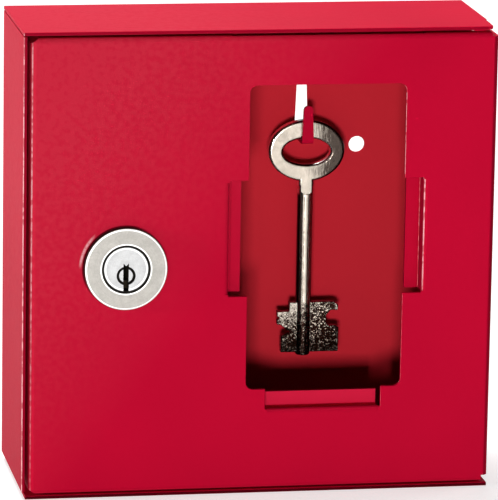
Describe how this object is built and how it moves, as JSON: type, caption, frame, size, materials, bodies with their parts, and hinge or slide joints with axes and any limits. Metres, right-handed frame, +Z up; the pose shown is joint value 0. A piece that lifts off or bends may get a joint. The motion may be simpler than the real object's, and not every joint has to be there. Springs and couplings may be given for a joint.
{
  "type": "break glass key box",
  "caption": "Shallow folded-steel wall box with a hinged, lockable door, a glass pane held in clips behind its window, and a key hanging on a hook behind the glass.",
  "frame": {"origin": "centre of the back face, on the wall", "axes": "+X to the right seen from the front, +Y into the wall, +Z up; the door faces -Y"},
  "size_m": [0.13, 0.047, 0.129],
  "materials": {
    "red_coat": "gloss red powder coat on folded steel sheet",
    "zinc_steel": "bright zinc-plated steel",
    "nickel": "satin nickel-plated zinc casting",
    "brass": "stamped brass",
    "spring_steel": "spring wire",
    "glass": "clear float glass with arrissed edges",
    "key_nickel": "polished nickel on a cast key"
  },
  "bodies": {
    "cabinet": {"cabinet_shell": "red_coat", "strike_bracket": "zinc_steel", "hinge_pin_upper": "red_coat", "hinge_pin_lower": "red_coat", "hinge_washer_upper": "red_coat", "hinge_washer_lower": "red_coat"},
    "door": {"door_panel": "red_coat", "lock_housing": "nickel", "lock_nut": "zinc_steel", "lock_tooth_washer": "zinc_steel"},
    "plug": {"lock_plug": "nickel", "wafer_springs": "spring_steel", "stop_washer": "zinc_steel", "cam_lever": "zinc_steel", "cam_washer": "zinc_steel", "cam_screw": "zinc_steel"},
    "wafers": {"lock_wafers": "brass"},
    "pane": {"glass_pane": "glass"},
    "key": {"emergency_key": "key_nickel"}
  },
  "joints": [
    {"name": "door_hinge", "type": "hinge", "parent": "cabinet", "child": "door", "pos_m": [0.06, -0.04, 0], "axis": [0, 0, 1], "range_deg": [0, 180]},
    {"name": "plug_turn", "type": "hinge", "parent": "door", "child": "plug", "pos_m": [-0.037, -0.045, -0.00042], "axis": [0, 1, 0], "range_deg": [0, 90]},
    {"name": "wafer_slide", "type": "slide", "parent": "plug", "child": "wafers", "axis": [0, 0, 1], "range_m": [0, 0.001]},
    {"name": "pane_lift", "type": "slide", "parent": "door", "child": "pane", "axis": [0, 0, 1], "range_m": [0, 0.008]},
    {"name": "key_swing", "type": "hinge", "parent": "cabinet", "child": "key", "pos_m": [0.01905, -0.0087, 0.0265], "axis": [0, 1, 0], "range_deg": [-12, 12]}
  ]
}
